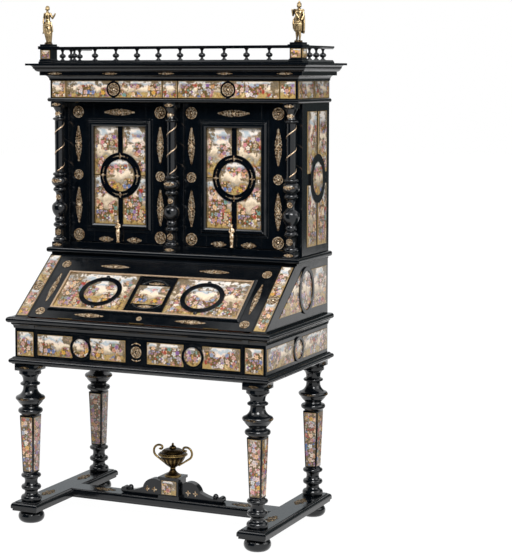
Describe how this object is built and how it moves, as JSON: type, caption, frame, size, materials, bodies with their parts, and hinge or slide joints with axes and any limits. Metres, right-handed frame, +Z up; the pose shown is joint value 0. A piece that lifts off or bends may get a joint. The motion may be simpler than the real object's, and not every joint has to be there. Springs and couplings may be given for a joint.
{
  "type": "secretary cabinet",
  "caption": "Ebonised secretary cabinet set with enamel plaques: columned upper case with doors and gallery, sloping fall-front desk, long drawer, turned legs and an urn stretcher.",
  "frame": {"origin": "centre of the overall outline on the floor", "axes": "+X to the right of someone facing the front, +Y from the front to the back, +Z up"},
  "size_m": [1.178, 0.652, 1.967],
  "materials": {
    "ebonised_wood": "black polish, glossy",
    "enamel": "painted enamel on copper, glossy",
    "gilt_bronze": "gilt, satin",
    "dark_bronze": "patinated, satin",
    "hinge_brass": "polished",
    "writing_leather": "smooth, worn satin",
    "interior_wood": "waxed"
  },
  "bodies": {
    "cabinet": {"apron_moulding": "ebonised_wood", "balusters": "ebonised_wood", "base_mounts": "gilt_bronze", "bun_feet": "ebonised_wood", "cabinet_mounts": "gilt_bronze", "case_boards": "ebonised_wood", "case_plaques": "enamel", "column_centre": "ebonised_wood", "column_left": "ebonised_wood", "column_mounts": "gilt_bronze", "column_right": "ebonised_wood", "cornice": "ebonised_wood", "cross_stretcher": "ebonised_wood", "desk_floor": "interior_wood", "door_pivots": "hinge_brass", "fall_hinges": "hinge_brass", "figure_left": "gilt_bronze", "figure_plinths": "ebonised_wood", "figure_right": "gilt_bronze", "frieze": "ebonised_wood", "frieze_plaques": "enamel", "gallery_rails": "ebonised_wood", "leg_back_left": "ebonised_wood", "leg_back_right": "ebonised_wood", "leg_front_left": "ebonised_wood", "leg_front_right": "ebonised_wood", "leg_plaques": "enamel", "lip_moulding": "ebonised_wood", "pigeonholes": "interior_wood", "scroll_brackets": "ebonised_wood", "shelves": "interior_wood", "side_rings": "ebonised_wood", "side_stretcher_left": "ebonised_wood", "side_stretcher_right": "ebonised_wood", "slope_boards": "ebonised_wood", "stretcher_pedestal": "ebonised_wood", "upper_base": "ebonised_wood", "upper_carcass": "ebonised_wood", "upper_side_plaques": "enamel", "urn_body": "dark_bronze", "urn_lid": "dark_bronze"},
    "drawer": {"drawer_front": "ebonised_wood", "drawer_box": "interior_wood", "drawer_plaques": "enamel", "drawer_mounts": "gilt_bronze"},
    "fall_front": {"fall_front": "ebonised_wood", "fall_moulding": "ebonised_wood", "fall_plaques": "enamel", "fall_mounts": "gilt_bronze", "writing_leather": "writing_leather"},
    "loper_left": {"loper_left": "ebonised_wood"},
    "loper_right": {"loper_right": "ebonised_wood"},
    "door_left": {"door_left": "ebonised_wood", "door_left_moulding": "ebonised_wood", "door_left_plaques": "enamel", "door_left_mounts": "gilt_bronze"},
    "door_right": {"door_right": "ebonised_wood", "door_right_moulding": "ebonised_wood", "door_right_plaques": "enamel", "door_right_mounts": "gilt_bronze"}
  },
  "joints": [
    {"name": "drawer_slide", "type": "slide", "parent": "cabinet", "child": "drawer", "axis": [0, -1, 0], "range_m": [0, 0.36]},
    {"name": "fall_front_hinge", "type": "hinge", "parent": "cabinet", "child": "fall_front", "pos_m": [0, -0.29823, 0.7929], "axis": [1, 0, 0], "range_deg": [0, 142.4]},
    {"name": "loper_left_slide", "type": "slide", "parent": "cabinet", "child": "loper_left", "axis": [0, -1, 0], "range_m": [0, 0.24]},
    {"name": "loper_right_slide", "type": "slide", "parent": "cabinet", "child": "loper_right", "axis": [0, -1, 0], "range_m": [0, 0.24]},
    {"name": "door_left_pivot", "type": "hinge", "parent": "cabinet", "child": "door_left", "pos_m": [-0.433, 0.041, 1.3125], "axis": [0, 0, -1], "range_deg": [0, 90]},
    {"name": "door_right_pivot", "type": "hinge", "parent": "cabinet", "child": "door_right", "pos_m": [0.433, 0.041, 1.3125], "axis": [0, 0, 1], "range_deg": [0, 90]}
  ]
}
